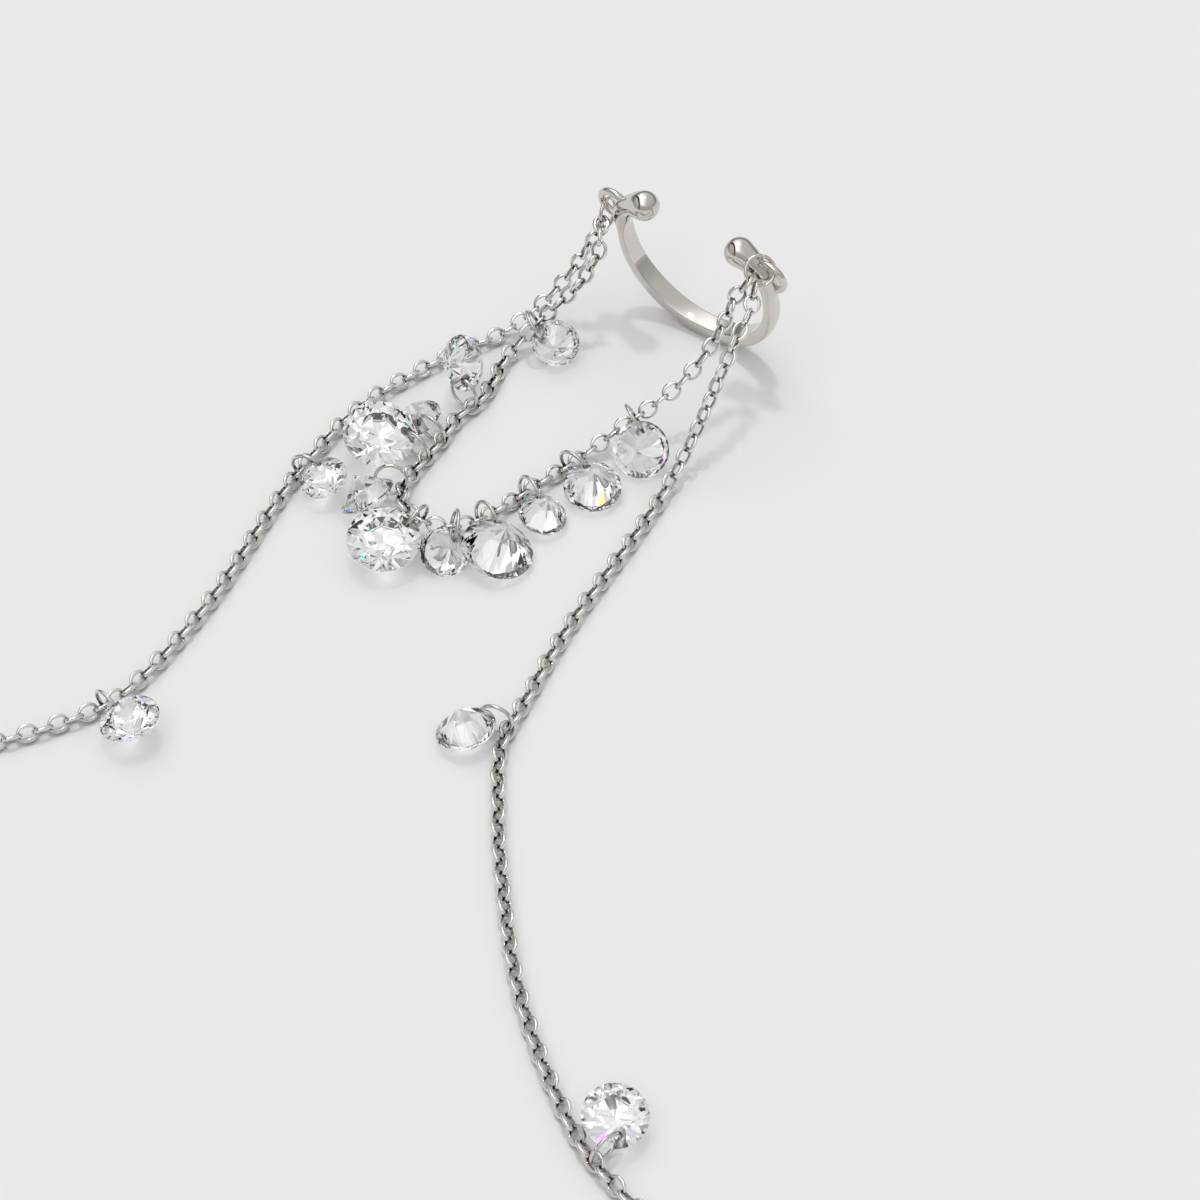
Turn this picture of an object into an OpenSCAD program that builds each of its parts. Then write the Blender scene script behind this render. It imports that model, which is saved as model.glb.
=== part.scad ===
// Ear cuff with three fine cable chains and fifteen drilled round brilliants.
// Millimetres, +Z up. The piece lies on the surface z = 0, and the cuff leans on its edge.
// Every chain follows a smooth route and its links stand at half a right angle, turn about.

/* [Cuff] */
// Outer radius of the open ring
cuff_r = 6.8; // [6.5:0.1:7.1]
// Width of the band along the ear
cuff_w = 1.4; // [1.2:0.1:1.6]
// Radius of the round inside face
inside_r = 6.1; // [5.9:0.1:6.2]
// Distance from the ring's middle to the inside face's middle, which makes the bottom thick
inside_shift = 0.6; // [0.4:0.1:0.7]
// Rise of the domed outside face at its middle
dome = 0.2; // [0.1:0.05:0.3]
// Lean of the ring from upright
cuff_lean = 12; // [10:1:14]
// Diameter of the round necks
neck_d = 1.5; // [1.4:0.1:1.6]
// Diameter of the ball ends
ball_d = 2.2; // [2:0.1:2.4]

/* [Soldered loops] */
// Mean radius of a loop
loop_r = 1.15; // [1.1:0.05:1.2]
// Wire diameter of a loop
loop_wire = 0.56; // [0.48:0.04:0.56]

/* [Jump rings] */
// Mean radius of the two rings that hold the chains
jump_r = 1.05; // [1:0.05:1.1]
// Their wire diameter
jump_wire = 0.28; // [0.2:0.02:0.3]
// Mean radius of the rings that hold the stones
stone_ring_r = 1.11; // [1.09:0.01:1.13]
// Their wire diameter
stone_ring_wire = 0.26; // [0.2:0.02:0.28]

/* [Chain links] */
// Outer length of a link
link_l = 1.6; // [1.58:0.02:1.62]
// Outer width of a link
link_w = 1.46; // [1.4:0.02:1.48]
// Length of its hole
hole_l = 1.26; // [1.24:0.02:1.28]
// Width of its hole
hole_w = 0.88; // [0.86:0.02:0.9]
// Thickness of a link
link_thick = 0.24; // [0.2:0.02:0.24]

/* [Stones] */
// Diameter of the largest stones
large_d = 5; // [4.8:0.1:5]
// Diameter of the middle stones
middle_d = 4; // [3.8:0.1:4]
// Diameter of the smallest stones
small_d = 3.4; // [3.2:0.1:3.4]
// Share of the diameter that the table takes
table_share = 0.55; // [0.5:0.01:0.6]
// Crown height as a share of the diameter
crown_share = 0.16; // [0.14:0.01:0.17]
// Pavilion depth as a share of the diameter
pavilion_share = 0.43; // [0.41:0.01:0.43]
// Thickness of the girdle
girdle = 0.1; // [0.06:0.02:0.14]
// Diameter of the drilled hole
drill_d = 0.7; // [0.66:0.02:0.7]

/* [Hidden] */
$fn = 32;

// The cuff stands at the start of the frame until the whole piece is centred: the middle of its box
middle = [14.62, -32.04, 0];

// Height of a link's middle above the surface
rest = 0.65;

// Routes of the three chains, as points by eye from the photograph
LEFT_ROUTE = [[-7.37, -3.04, 7.83], [-7.67, -3.59, 7.08], [-8.06, -4.15, 5.97], [-8.5, -4.75, 4.7],
    [-9, -5.5, 3.6], [-9.5, -6.4, 2.6], [-10.1, -7.5, 1.7], [-10.7, -8.9, 1], [-11.3, -10.6, rest],
    [-12.1, -12.6, rest], [-12.8, -14.9, rest], [-13.3, -17.2, rest], [-13.9, -20.5, rest],
    [-13.9, -24, rest], [-13.4, -27.5, rest], [-12.7, -31, rest], [-11.6, -35, rest],
    [-10.4, -38.9, rest], [-9.4, -42.5, rest], [-8.6, -46.5, rest], [-8.1, -50, rest],
    [-8.1, -53.7, rest], [-9.5, -57.3, rest], [-11, -60, rest], [-12.1, -61.6, rest]];
SWAG_ROUTE = [[-7.1, -3.45, 8.58], [-6.46, -4.52, 8.06], [-6.26, -4.78, 7.52], [-6.53, -5.71, 6.05],
    [-6.92, -6.44, 4.94], [-7.6, -7.2, 3.9], [-8.3, -8.1, 2.8], [-8.9, -9.1, 1.8],
    [-9.2, -10.3, 1.05], [-9.2, -11.7, 0.7], [-8.8, -13.1, rest], [-8.2, -14.7, rest],
    [-7.8, -16.5, rest], [-7.9, -18.7, rest], [-7.3, -21.3, rest], [-6.9, -24, rest],
    [-6.24, -26.4, 0.89], [-4.82, -28.33, 1.38], [-2.82, -29.01, 1.6], [-1.04, -28.23, 1.25],
    [-0.04, -26.43, 1], [0.3, -24, rest], [0.7, -21.2, rest], [1.1, -19, rest], [1.4, -17.2, rest],
    [1.9, -15.4, 1.1], [2.6, -13.6, 1.9], [3.5, -12.1, 2.8], [4.5, -10.3, 4], [5, -8.9, 4.95],
    [5.3, -7.5, 5.95], [5.4, -6.3, 7], [5.4, -5.2, 8.06], [5.45, -4.76, 8.95], [5.9, -3.93, 10.07]];
RIGHT_ROUTE = [[6.52, -3.8, 9.77], [7.11, -5.02, 9.13], [7.33, -6.47, 8.39], [7.57, -7.9, 7.4],
    [7.65, -9.29, 6.05], [7.65, -10.5, 4.45], [7.7, -12, 2.9], [7.8, -13.7, 1.6],
    [8.1, -15.7, 0.85], [8.6, -18, rest], [9.3, -21.4, rest], [10, -25.2, rest],
    [10.7, -28.9, rest], [11.6, -32.6, rest], [12.8, -36.7, rest], [13.9, -40.5, rest],
    [15.4, -42.9, rest], [17.2, -45.1, rest], [19.1, -47.4, rest], [22.3, -50.8, rest],
    [26, -54.5, rest], [29.5, -57.4, rest], [33.4, -60.1, rest], [37.6, -62.5, rest],
    [41.2, -63.7, rest], [43, -64.1, rest]];

// Chains, a row each: route, number of links, turn of the first link about the chain,
// and the extra turn of the links along the route as pairs of distance and angle
CHAINS = [
    [LEFT_ROUTE, 63, 45, [[0, -48], [8, 0]]],
    [SWAG_ROUTE, 63, -45, [[0, 47], [8, 0], [55.5, 0], [63.5, 16]]],
    [RIGHT_ROUTE, 76, -45, [[0, -63], [8, -25], [13, -12], [17, 0]]]];

// Soldered loops, which stand in the ring's plane: side, angle on the ring, distance of the middle
LOOPS = [[-1, 22.9, 7.6], [1, 26.4, 7.37]];

// Jump rings: middle, its axis' tilt from upright and that tilt's heading
LEFT_JUMP = [[-7.43, -2.3, 8.73], 83, 10];
RIGHT_JUMP = [[6.22, -2.77, 10.66], 131, 147];

// Stones and their rings, a row each.
// chain: 0 left, 1 swag, 2 right. link: number from the jump ring. side: of the link.
// yaw: the ring's turn in the link. swing: place of the stone round its ring.
// twist: the stone's turn about the ring's wire. lean: its play in the drilled hole.
// up: which way the table faces along the wire. d: the stone's diameter.
STONES = [
    [1, 9, 1, -12, 260, -30, 0, -1, small_d],
    [1, 18, -1, -6, 20, 50, -8, 1, middle_d],
    [1, 22, -1, 12, 290, 40, -8, -1, small_d],
    [1, 24, -1, 12, 340, -40, -8, 1, large_d],
    [1, 28, -1, 0, 280, -60, -8, -1, middle_d],
    [1, 32, -1, 12, 310, 20, -8, 1, large_d],
    [1, 34, -1, 12, 280, 30, 0, -1, small_d],
    [1, 36, -1, 0, 300, 30, 0, -1, large_d],
    [1, 40, -1, 12, 300, 10, 0, -1, small_d],
    [1, 44, -1, -12, 310, 30, 8, -1, middle_d],
    [1, 50, -1, 0, 280, 40, 8, -1, middle_d],
    [0, 30, 1, 12, 330, 60, -8, 1, small_d],
    [0, 54, 1, 12, 330, 0, -8, 1, middle_d],
    [2, 38, -1, 0, 300, -60, 0, -1, middle_d],
    [2, 71, 1, 12, 320, -60, 8, 1, middle_d]];

// Distance of the drilled hole from the stone's rim, and half of the bow of the ring's wire in it
rim = 0.72;
bow = 0.08;

// Smooth curve through the points p: the place at share u of the span from point i
function on_span(p, i, u) =
    let (b = p[i],
         c = p[i + 1],
         a = i > 0 ? p[i - 1] : 2 * b - c,
         d = i + 2 < len(p) ? p[i + 2] : 2 * c - b)
    (2 * b + (c - a) * u + (2 * a - 5 * b + 4 * c - d) * u ^ 2 + (3 * b - a - 3 * c + d) * u ^ 3) / 2;

SPAN_STEPS = 24;
function samples(p) =
    [for (i = [0:len(p) - 2], k = [0:SPAN_STEPS - 1]) on_span(p, i, k / SPAN_STEPS), p[len(p) - 1]];

// Distance from the start to each sample
function run_of(s) =
    [for (i = 0, l = 0; i < len(s); l = l + (i + 1 < len(s) ? norm(s[i + 1] - s[i]) : 0), i = i + 1) l];

// A route as three tables of distance and coordinate, and its length
function path_of(p) =
    let (s = samples(p), run = run_of(s))
    [for (axis = [0:2]) [for (i = [0:len(s) - 1]) [run[i], s[i][axis]]], run[len(s) - 1]];

function place(path, l) = [for (axis = [0:2]) lookup(l, path[axis])];

// Turns that lay the X axis along the route at distance l, with an extra turn about it
function heading(path, l, turn) =
    let (t = place(path, l + 0.5) - place(path, l - 0.5))
    [turn, -asin(t[2] / norm(t)), atan2(t[1], t[0])];

PATHS = [for (row = CHAINS) path_of(row[0])];

// Moves what follows from the cuff's foot to the middle of the whole piece
module centred() {
    translate(-middle) children();
}

module wire_ring(r, wire) {
    rotate_extrude() translate([r, 0]) circle(d = wire, $fn = 16);
}

// Cuff, in the ring's own plane: X across, Y up, Z to the front

function on_ring(r, angle) = [r * cos(angle), r * sin(angle), 0];

// Half of the band's section: flat inside, domed outside
module band_section() {
    intersection() {
        translate([cuff_r - dome_r, 0]) circle(r = dome_r, $fn = 64);
        translate([cuff_r - 2, -cuff_w / 2]) square([2, cuff_w]);
    }
}

// The leaning dome would dip below the surface by this much
dome_r = (cuff_w ^ 2 / 4 + dome ^ 2) / (2 * dome);
lift = dome_r * (1 - cos(cuff_lean));

band_end = 6;
neck_at = 22;
neck_mean_r = 6.8;
bend_at = 36;
bend_r = 6.45;
ball_at = 46.7;
ball_r = 6.05;

module inside_face() {
    translate([0, inside_shift, 0]) cylinder(r = inside_r, h = 3, center = true, $fn = 96);
}

module band() {
    difference() {
        rotate([0, 0, 180 - band_end]) rotate_extrude(angle = 180 + 2 * band_end, $fn = 96)
            band_section();
        inside_face();
    }
}

// A thin slice of the band at its end, from which the neck grows
module band_tip() {
    difference() {
        rotate([0, 0, band_end - 1]) rotate_extrude(angle = 1, $fn = 96) band_section();
        inside_face();
    }
}

module arm() {
    hull() {
        band_tip();
        translate(on_ring(neck_mean_r, neck_at)) sphere(d = neck_d);
    }
    hull() {
        translate(on_ring(neck_mean_r, neck_at)) sphere(d = neck_d);
        translate(on_ring(bend_r, bend_at)) sphere(d = neck_d + 0.3);
    }
    hull() {
        translate(on_ring(bend_r, bend_at)) sphere(d = neck_d + 0.3);
        translate(on_ring(ball_r, ball_at)) sphere(d = ball_d);
    }
}

module turned(at) {
    translate(at[0]) rotate([0, at[1], at[2]]) children();
}

module ear_cuff() {
    color("silver") centred() {
        translate([0, 0, lift]) rotate([90 + cuff_lean, 0, 0]) translate([0, cuff_r, 0]) {
            band();
            for (side = [0, 1]) mirror([side, 0, 0]) arm();
            for (loop = LOOPS) scale([loop[0], 1, 1]) translate(on_ring(loop[2], loop[1]))
                wire_ring(loop_r, loop_wire);
        }
    }
}

module jump_ring(at) {
    color("silver") centred() turned(at) wire_ring(jump_r, jump_wire);
}

// Chains

module oval(l, w) {
    for (side = [-1, 1]) translate([side * (l - w) / 2, 0]) circle(d = w);
    square([l - w, w], center = true);
}

module link() {
    linear_extrude(link_thick, center = true) difference() {
        oval(link_l, link_w);
        oval(hole_l, hole_w);
    }
}

// Frame of link k: X along the chain, Z through the link's hole
module at_link(c, k) {
    row = CHAINS[c];
    path = PATHS[c];
    l = k * path[3] / (row[1] - 1);
    turn = (k % 2 == 0 ? row[2] : -row[2]) + lookup(l, row[3]);
    translate(place(path, l)) rotate(heading(path, l, turn)) children();
}

module chain(c) {
    color("silver") centred() for (k = [0:CHAINS[c][1] - 1]) at_link(c, k) link();
}

// Stones and their rings

// Frame of a stone's ring: X from the link, Y along the wire in the link's hole
module at_stone_ring(s) {
    at_link(s[0], s[1]) rotate([0, s[3], 0]) rotate([90, 0, 90 * s[2]])
        translate([stone_ring_r, 0, 0]) children();
}

// Frame of a stone: X from the drilled hole to its middle, Z to the table
module at_stone(s) {
    at_stone_ring(s) rotate([0, 0, s[4]]) translate([stone_ring_r - bow, 0, 0]) rotate([0, -s[5], 0])
        rotate([-90 * s[7], 0, 0]) rotate([0, -s[6], 0]) translate([s[8] / 2 - rim, 0, 0]) children();
}

module stone_ring(i) {
    color("silver") centred() at_stone_ring(STONES[i - 1]) wire_ring(stone_ring_r, stone_ring_wire);
}

function around(r, angle, z) = [r * cos(angle), r * sin(angle), z];

// Round brilliant: table, 8 stars, 8 kites and 16 halves above, 16 halves and 8 mains below
module brilliant(d) {
    r = d / 2;
    step = 22.5;
    edge = girdle / 2;
    top = edge + crown_share * d;
    table_r = table_share * r;
    star_r = 0.8 * r;
    half_r = 0.24 * r;
    crown_slope = (top - edge) / (r - table_r);
    pavilion_slope = pavilion_share * d / r;
    star_z = edge + (r - star_r * cos(step)) * crown_slope;
    half_z = -edge - (r - half_r * cos(step)) * pavilion_slope;
    points = concat(
        [for (i = [0:7]) around(table_r, 2 * step * i, top)],
        [for (i = [0:7]) around(star_r, 2 * step * i + step, star_z)],
        [for (i = [0:15]) around(r, step * i, edge)],
        [for (i = [0:15]) around(r, step * i, -edge)],
        [for (i = [0:7]) around(half_r, 2 * step * i + step, half_z)],
        [[0, 0, -edge - pavilion_share * d]]);
    // First point of each row
    star = 8;
    upper = 16;
    lower = 32;
    half = 48;
    culet = 56;
    faces = concat(
        [[for (i = [7:-1:0]) i]],
        [for (i = [0:7]) [i, (i + 1) % 8, star + i]],
        [for (i = [0:7]) [i, star + i, upper + 2 * i, star + (i + 7) % 8]],
        [for (i = [0:7]) [star + i, upper + 2 * i + 1, upper + 2 * i]],
        [for (i = [0:7]) [star + i, upper + (2 * i + 2) % 16, upper + 2 * i + 1]],
        [for (i = [0:15]) [upper + i, upper + (i + 1) % 16, lower + (i + 1) % 16, lower + i]],
        [for (i = [0:7]) [lower + 2 * i, lower + 2 * i + 1, half + i]],
        [for (i = [0:7]) [lower + 2 * i + 1, lower + (2 * i + 2) % 16, half + i]],
        [for (i = [0:7]) [lower + 2 * i, half + i, culet, half + (i + 7) % 8]]);
    polyhedron(points, faces, convexity = 2);
}

module stone(i) {
    s = STONES[i - 1];
    color("whitesmoke") centred() at_stone(s) difference() {
        brilliant(s[8]);
        translate([rim - s[8] / 2, 0, 0]) cylinder(d = drill_d, h = 4, center = true);
    }
}

ear_cuff();
jump_ring(LEFT_JUMP);  // left_jump_ring
jump_ring(RIGHT_JUMP);  // right_jump_ring
chain(0);  // left_chain
chain(1);  // swag_chain
chain(2);  // right_chain
stone(1);  // stone_01
stone(2);  // stone_02
stone(3);  // stone_03
stone(4);  // stone_04
stone(5);  // stone_05
stone(6);  // stone_06
stone(7);  // stone_07
stone(8);  // stone_08
stone(9);  // stone_09
stone(10);  // stone_10
stone(11);  // stone_11
stone(12);  // stone_12
stone(13);  // stone_13
stone(14);  // stone_14
stone(15);  // stone_15
stone_ring(1);  // stone_ring_01
stone_ring(2);  // stone_ring_02
stone_ring(3);  // stone_ring_03
stone_ring(4);  // stone_ring_04
stone_ring(5);  // stone_ring_05
stone_ring(6);  // stone_ring_06
stone_ring(7);  // stone_ring_07
stone_ring(8);  // stone_ring_08
stone_ring(9);  // stone_ring_09
stone_ring(10);  // stone_ring_10
stone_ring(11);  // stone_ring_11
stone_ring(12);  // stone_ring_12
stone_ring(13);  // stone_ring_13
stone_ring(14);  // stone_ring_14
stone_ring(15);  // stone_ring_15
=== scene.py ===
"""Looks of an ear cuff hung with fine cable chains and drilled round brilliants.

The pieces are built in the part's millimetres, by its own rules, and put in metres at the end.
"""

import logging
import math
from bisect import bisect_right
from dataclasses import dataclass, field
from enum import Enum

import bmesh
import bpy
from mathutils import Matrix, Vector


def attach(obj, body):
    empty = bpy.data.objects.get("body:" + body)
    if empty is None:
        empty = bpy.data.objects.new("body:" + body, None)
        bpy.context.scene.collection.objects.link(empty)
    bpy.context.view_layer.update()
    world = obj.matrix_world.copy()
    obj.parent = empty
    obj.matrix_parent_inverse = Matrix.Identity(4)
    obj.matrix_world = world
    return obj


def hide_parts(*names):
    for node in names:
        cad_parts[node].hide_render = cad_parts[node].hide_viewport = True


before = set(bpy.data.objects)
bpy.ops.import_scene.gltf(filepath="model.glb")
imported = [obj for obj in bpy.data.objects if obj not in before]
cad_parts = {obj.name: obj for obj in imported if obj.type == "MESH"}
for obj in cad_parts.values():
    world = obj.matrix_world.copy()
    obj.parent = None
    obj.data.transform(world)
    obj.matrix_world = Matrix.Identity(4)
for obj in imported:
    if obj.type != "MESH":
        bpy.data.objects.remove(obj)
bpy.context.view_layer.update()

MM = 0.001
# Middle of the part's box on the floor, in the part's own millimetres
MIDDLE = Vector((14.62, -32.04, 0.0))
# Points nearer than this are one, in millimetres
MERGE = 1e-4
# Share of a span to both sides of a place that gives the path's way there
NUDGE = 0.02
# Keeps a vector's share in the plane
IN_PLANE = Vector((1.0, 1.0, 0.0))
log = logging.getLogger("ear_cuff")

# Numbers of a colour Mix node's factor and two colours, and of its colour output
MIX_INPUTS = (0, 6, 7)
MIX_OUTPUT = 2

Number = float | int
Colour = tuple[float, float, float]
Place = tuple[float, float, float]


# Shader maths


class Wire:
    """A socket of a node tree that takes part in expressions."""

    def __init__(self, graph: "Graph", socket: bpy.types.NodeSocket) -> None:
        """Keeps the socket and the graph that it belongs to."""
        self.graph = graph
        self.socket = socket

    def _maths(self, operation: str, a: "Wire | Number", b: "Wire | Number") -> "Wire":
        """Adds a Math node.

        Args:
            operation: the Math node's operation.
            a: first value.
            b: second value.

        Returns:
            The node's result.
        """
        return self.graph.node("ShaderNodeMath", {"operation": operation}, {0: a, 1: b})

    def __add__(self, other: "Wire | Number") -> "Wire":
        """Sum."""
        return self._maths("ADD", self, other)

    def __radd__(self, other: Number) -> "Wire":
        """Sum, from the right."""
        return self._maths("ADD", other, self)

    def __sub__(self, other: "Wire | Number") -> "Wire":
        """Difference."""
        return self._maths("SUBTRACT", self, other)

    def __rsub__(self, other: Number) -> "Wire":
        """Difference, from the right."""
        return self._maths("SUBTRACT", other, self)

    def __mul__(self, other: "Wire | Number") -> "Wire":
        """Product."""
        return self._maths("MULTIPLY", self, other)

    def __rmul__(self, other: Number) -> "Wire":
        """Product, from the right."""
        return self._maths("MULTIPLY", other, self)

    def __pow__(self, other: "Wire | Number") -> "Wire":
        """Power."""
        return self._maths("POWER", self, other)


class Graph:
    """Adds nodes to a material's or a world's tree."""

    def __init__(self, tree: bpy.types.NodeTree) -> None:
        """Clears the tree."""
        self.tree = tree
        tree.nodes.clear()

    def node(
        self,
        kind: str,
        settings: dict | None = None,
        sockets: dict | None = None,
        out: int | str = 0,
    ) -> Wire | None:
        """Adds a node.

        Args:
            kind: the node's type.
            settings: properties of the node, set first; "stops" holds a colour ramp's stops.
            sockets: values or wires of its inputs, by name or number.
            out: the output that is wanted.

        Returns:
            The wanted output, or None where the node has no output.
        """
        made = self.tree.nodes.new(kind)
        for name, value in (settings or {}).items():
            if name == "stops":
                ramp = made.color_ramp
                while len(ramp.elements) < len(value):
                    ramp.elements.new(0.5)
                for element, (position, colour) in zip(ramp.elements, value):
                    element.position = position
                    element.color = (*colour, 1.0)
            else:
                setattr(made, name, value)
        for name, value in (sockets or {}).items():
            if isinstance(value, Wire):
                self.tree.links.new(value.socket, made.inputs[name])
            else:
                made.inputs[name].default_value = value
        return Wire(self, made.outputs[out]) if made.outputs else None

    def mix(self, mask: "Wire | Number", a: "Wire | tuple", b: "Wire | tuple") -> Wire:
        """Mixes two colours.

        Args:
            mask: share of the second colour.
            a: first colour.
            b: second colour.

        Returns:
            The mixed colour.
        """
        made = self.tree.nodes.new("ShaderNodeMix")
        made.data_type = "RGBA"
        for number, value in zip(MIX_INPUTS, (mask, a, b)):
            socket = made.inputs[number]
            if isinstance(value, Wire):
                self.tree.links.new(value.socket, socket)
            else:
                socket.default_value = value if isinstance(value, (int, float)) else (*value, 1.0)
        return Wire(self, made.outputs[MIX_OUTPUT])

    def noise(self, scale: float, detail: float) -> Wire:
        """Noise on object coordinates.

        Args:
            scale: features to the metre.
            detail: octaves.

        Returns:
            The noise's value.
        """
        place = self.node("ShaderNodeTexCoord", out="Object")
        sockets = {"Vector": place, "Scale": scale, "Detail": detail}
        return self.node("ShaderNodeTexNoise", {}, sockets)

    def along(self, way: Wire, direction: Vector) -> Wire:
        """Share of a way that runs along a direction."""
        sockets = {0: way, 1: tuple(direction)}
        return self.node("ShaderNodeVectorMath", {"operation": "DOT_PRODUCT"}, sockets, "Value")

    def step(self, value: Wire, start: float, end: float) -> Wire:
        """Smooth step.

        Args:
            value: what is stepped.
            start: value up to which the step is 0.
            end: value from which it is 1.

        Returns:
            The step.
        """
        return self.node(
            "ShaderNodeMapRange",
            {"interpolation_type": "SMOOTHSTEP"},
            {"Value": value, "From Min": start, "From Max": end, "To Min": 0.0, "To Max": 1.0},
        )


@dataclass(frozen=True)
class PolishedMetal:
    """White plated metal, polished, with faint ripples, cloudy wear and, if set, painted shade."""

    name: str
    light: Colour = (0.7, 0.675, 0.645)
    dark: Colour = (0.65, 0.625, 0.595)
    smooth: float = 0.045
    rough: float = 0.12
    wear_power: float = 1.5
    # Noise scale and detail of the clouds in the tone, the wear's grain and the ripples
    cloud: tuple[float, float] = (350.0, 3.0)
    grain: tuple[float, float] = (5200.0, 2.0)
    ripple: tuple[float, float] = (420.0, 1.0)
    ripple_mm: float = 0.008
    # Painted shade: the base colour darkens where neighbours shade each other, none at 0
    crevice_shade: float = 0.0
    crevice_power: float = 1.3
    crevice_samples: int = 6
    shade_colour: Colour = (0.05, 0.045, 0.04)
    reach_mm: float = 0.75

    def material(self) -> bpy.types.Material:
        """Makes the material.

        Returns:
            The metal.
        """
        made = bpy.data.materials.new(self.name)
        made.use_nodes = True
        graph = Graph(made.node_tree)
        cloud = graph.noise(*self.cloud)
        tone = graph.mix(cloud, self.light, self.dark)
        # Painted shade: ambient occlusion darkens the base colour towards the shade colour near
        # neighbours
        if self.crevice_shade:
            reach = {"Distance": self.reach_mm * MM}
            settings = {"samples": self.crevice_samples}
            open_share = graph.node("ShaderNodeAmbientOcclusion", settings, reach, "AO")
            shade = (1 - open_share) ** self.crevice_power * self.crevice_shade
            tone = graph.mix(shade, tone, self.shade_colour)
        worn = (cloud * graph.noise(*self.grain)) ** self.wear_power
        wear = self.smooth + (self.rough - self.smooth) * worn
        ripple = graph.noise(*self.ripple)
        depth = {"Strength": 1.0, "Distance": self.ripple_mm * MM, "Height": ripple}
        bump = graph.node("ShaderNodeBump", {}, depth)
        shader = graph.node(
            "ShaderNodeBsdfPrincipled",
            {},
            {"Base Color": tone, "Metallic": 1.0, "Roughness": wear, "Normal": bump},
        )
        graph.node("ShaderNodeOutputMaterial", {}, {"Surface": shader})
        return made


@dataclass(frozen=True)
class ClearStone:
    """Clear cut stone, or the frosted wall of the hole drilled in it."""

    name: str
    roughness: float = 0.0
    clear: Colour = (1.0, 1.0, 1.0)
    tint: Colour = (0.985, 0.99, 1.0)
    cloud: tuple[float, float] = (900.0, 2.0)
    index: float = 2.15
    # Share of the light that passes straight on where the stone casts its shadow
    shade_lost: float = 0.75

    def material(self) -> bpy.types.Material:
        """Makes the material, which lets part of the light through to its shadow.

        Returns:
            The stone.
        """
        made = bpy.data.materials.new(self.name)
        made.use_nodes = True
        graph = Graph(made.node_tree)
        sockets = {
            "Base Color": graph.mix(graph.noise(*self.cloud), self.clear, self.tint),
            "Roughness": self.roughness,
            "IOR": self.index,
            "Transmission Weight": 1.0,
        }
        glass = graph.node("ShaderNodeBsdfPrincipled", {}, sockets)
        nothing = graph.node("ShaderNodeBsdfTransparent")
        shadow = graph.node("ShaderNodeLightPath", out="Is Shadow Ray")
        sockets = {0: shadow * self.shade_lost, 1: glass, 2: nothing}
        both = graph.node("ShaderNodeMixShader", {}, sockets)
        graph.node("ShaderNodeOutputMaterial", {}, {"Surface": both})
        return made


class Finish(Enum):
    """The finishes that the pieces share."""

    METAL = PolishedMetal("white_metal")
    # The chain's links get painted shade in their base colour where they shade each other
    CHAIN = PolishedMetal(
        "chain_metal", (0.9, 0.88, 0.85), (0.82, 0.8, 0.77), smooth=0.02, rough=0.06, crevice_shade=2.3
    )
    STONE = ClearStone("clear_stone")
    DRILLED = ClearStone("drilled_wall", roughness=0.3)

    def material(self) -> bpy.types.Material:
        """Gives the finish's material, made once."""
        return bpy.data.materials.get(self.value.name) or self.value.material()


# Common steps in mesh making


def turn(x: float, y: float, z: float) -> Matrix:
    """Turns about X, then Y, then Z, in degrees, as the part's source does.

    Args:
        x: turn about X.
        y: turn about Y.
        z: turn about Z.

    Returns:
        The turn.
    """
    angles = zip((x, y, z), "XYZ")
    about_x, about_y, about_z = (Matrix.Rotation(math.radians(a), 4, axis) for a, axis in angles)
    return about_z @ about_y @ about_x


def shift(x: float, y: float, z: float) -> Matrix:
    """Gives a move along the axes."""
    return Matrix.Translation((x, y, z))


def add_copy(mesh: bmesh.types.BMesh, template: bpy.types.Mesh, place: Matrix) -> None:
    """Adds a template to a mesh at a place.

    Args:
        mesh: mesh that grows.
        template: what is added.
        place: its place.
    """
    start = len(mesh.verts)
    mesh.from_mesh(template)
    mesh.verts.ensure_lookup_table()
    bmesh.ops.transform(mesh, matrix=place, verts=mesh.verts[start:])


def wire_ring(
    radius: float, wire: float, steps: int, sides: int, gap_deg: float = 0.0
) -> bmesh.types.BMesh:
    """Spins a wire round the Z axis.

    Args:
        radius: mean radius.
        wire: wire diameter.
        steps: sections round the ring.
        sides: sides of the wire.
        gap_deg: width of the seam where a bent wire's two ends meet, 0 for a closed ring.

    Returns:
        The ring's mesh.
    """
    mesh = bmesh.new()
    start = shift(radius, 0, 0) @ turn(90, 0, 0)
    capped = gap_deg > 0
    bmesh.ops.create_circle(mesh, segments=sides, radius=wire / 2, cap_ends=capped, matrix=start)
    bmesh.ops.spin(
        mesh,
        geom=mesh.verts[:] + mesh.edges[:] + mesh.faces[:],
        cent=(0, 0, 0),
        axis=(0, 0, 1),
        angle=math.radians(360 - gap_deg),
        steps=steps,
        use_merge=not capped,
    )
    bmesh.ops.recalc_face_normals(mesh, faces=mesh.faces)
    return mesh


def bend(a: Vector, b: Vector, c: Vector, steps: int) -> list[Vector]:
    """Points of a round corner.

    Args:
        a: its start, which is left out.
        b: the corner's point.
        c: its end.
        steps: number of points.

    Returns:
        The points up to the end.
    """
    shares = (i / steps for i in range(1, steps + 1))
    return [a * (1 - u) ** 2 + b * (2 * u * (1 - u)) + c * u**2 for u in shares]


def as_template(mesh: bmesh.types.BMesh, name: str) -> bpy.types.Mesh:
    """Keeps a mesh as a template.

    Args:
        mesh: mesh, which is freed.
        name: the template's name.

    Returns:
        The template.
    """
    made = bpy.data.meshes.new(name)
    mesh.to_mesh(made)
    mesh.free()
    return made


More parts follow.
